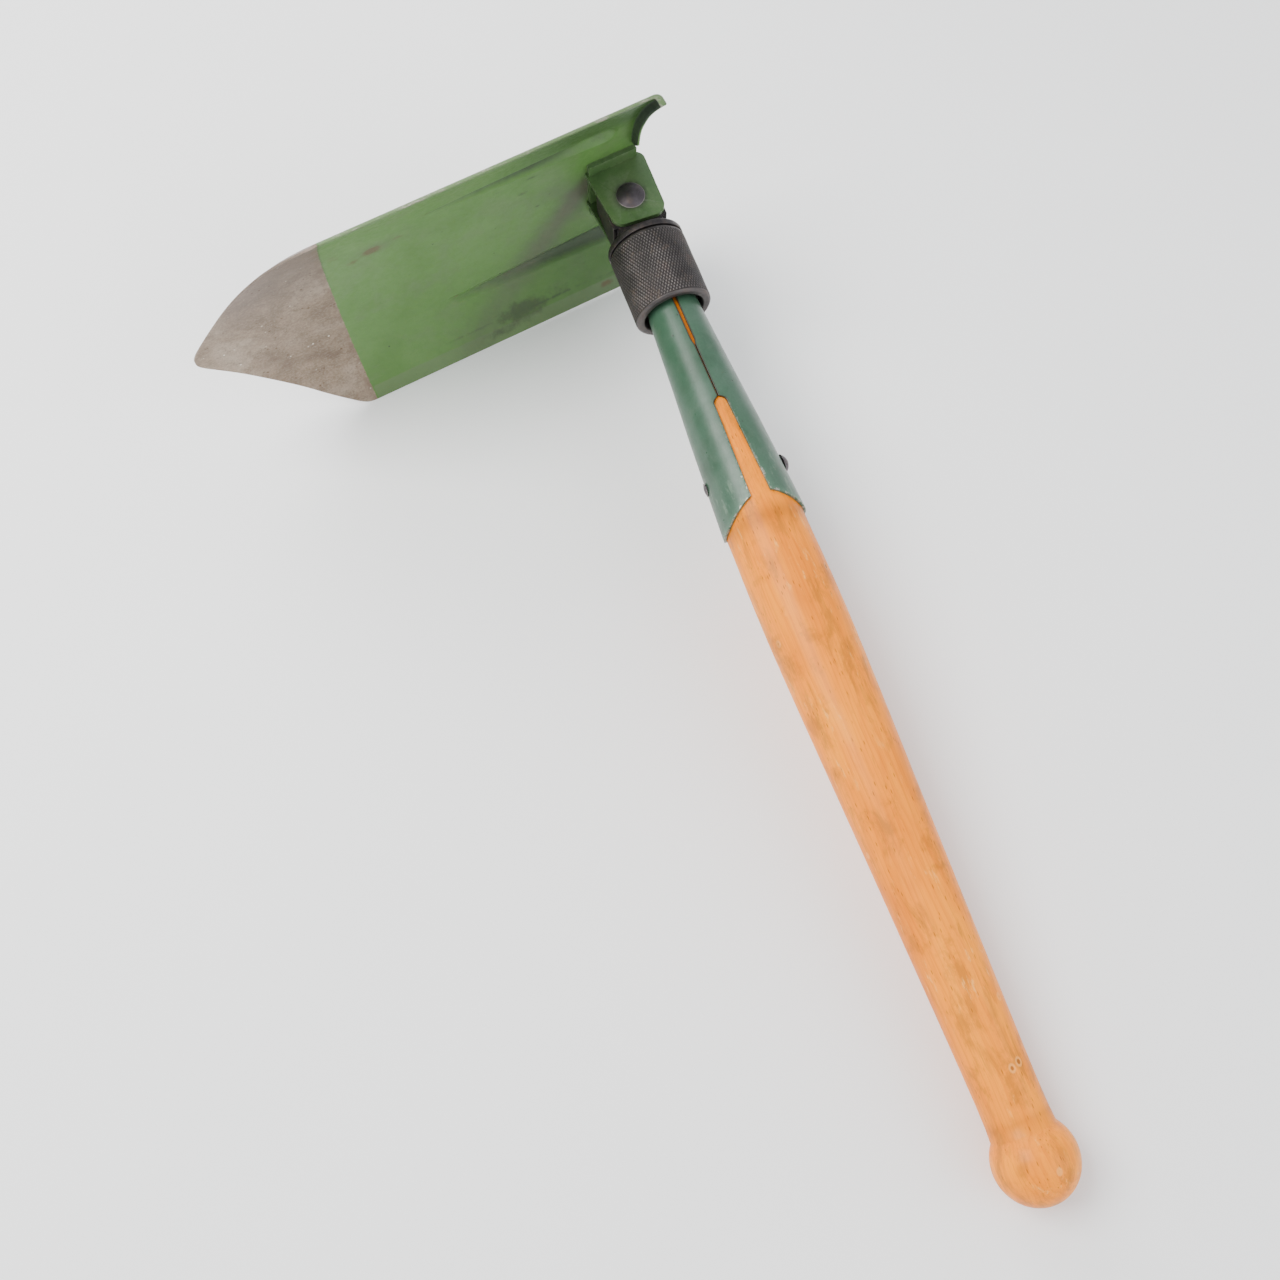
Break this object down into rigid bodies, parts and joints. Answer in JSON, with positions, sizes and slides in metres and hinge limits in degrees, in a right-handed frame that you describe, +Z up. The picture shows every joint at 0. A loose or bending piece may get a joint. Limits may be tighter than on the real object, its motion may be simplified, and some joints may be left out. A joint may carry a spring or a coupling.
{
  "type": "folding camp shovel",
  "caption": "Folding camp shovel with a pointed dished steel blade on a locking hinge, knurled collar, riveted strap socket and ball-ended wooden handle.",
  "frame": {"origin": "centre of the footprint at floor level, with the shovel lying on one long blade edge and the ball end of its handle", "axes": "+Z up, +Y from the ball end towards the hinge, the blade points to -X in its hoe position"},
  "size_m": [0.2514, 0.5282, 0.1502],
  "materials": {
    "green_paint": "satin",
    "socket_paint": "satin",
    "black_steel": "satin",
    "beech": "gloss"
  },
  "bodies": {
    "handle_body": {"handle": "beech", "socket": "socket_paint", "strap_rivet": "black_steel", "hinge_tongue": "black_steel"},
    "blade_body": {"blade": "green_paint", "hinge_bracket": "green_paint", "bracket_rivets": "green_paint", "pivot_rivet": "black_steel"},
    "ring_body": {"pressure_ring": "black_steel"},
    "collar_body": {"locking_collar": "black_steel"}
  },
  "joints": [
    {"name": "blade_fold", "type": "hinge", "parent": "handle_body", "child": "blade_body", "pos_m": [0.10304, 0.23593, 0.07499], "axis": [-0.0098, 0.1158, -0.9932], "range_deg": [-82.5, 90]},
    {"name": "ring_slide", "type": "slide", "parent": "handle_body", "child": "ring_body", "axis": [0, -0.9933, -0.1158], "range_m": [-0.0048, 0.0015]},
    {"name": "collar_turn", "type": "hinge", "parent": "ring_body", "child": "collar_body", "pos_m": [0.10304, 0.1962, 0.07036], "axis": [0, -0.9933, -0.1158], "range_deg": [-576, 180]}
  ],
  "couplings": [
    {"joint": "ring_slide", "follows": "collar_turn", "m_per_rad": 0.00047746}
  ]
}
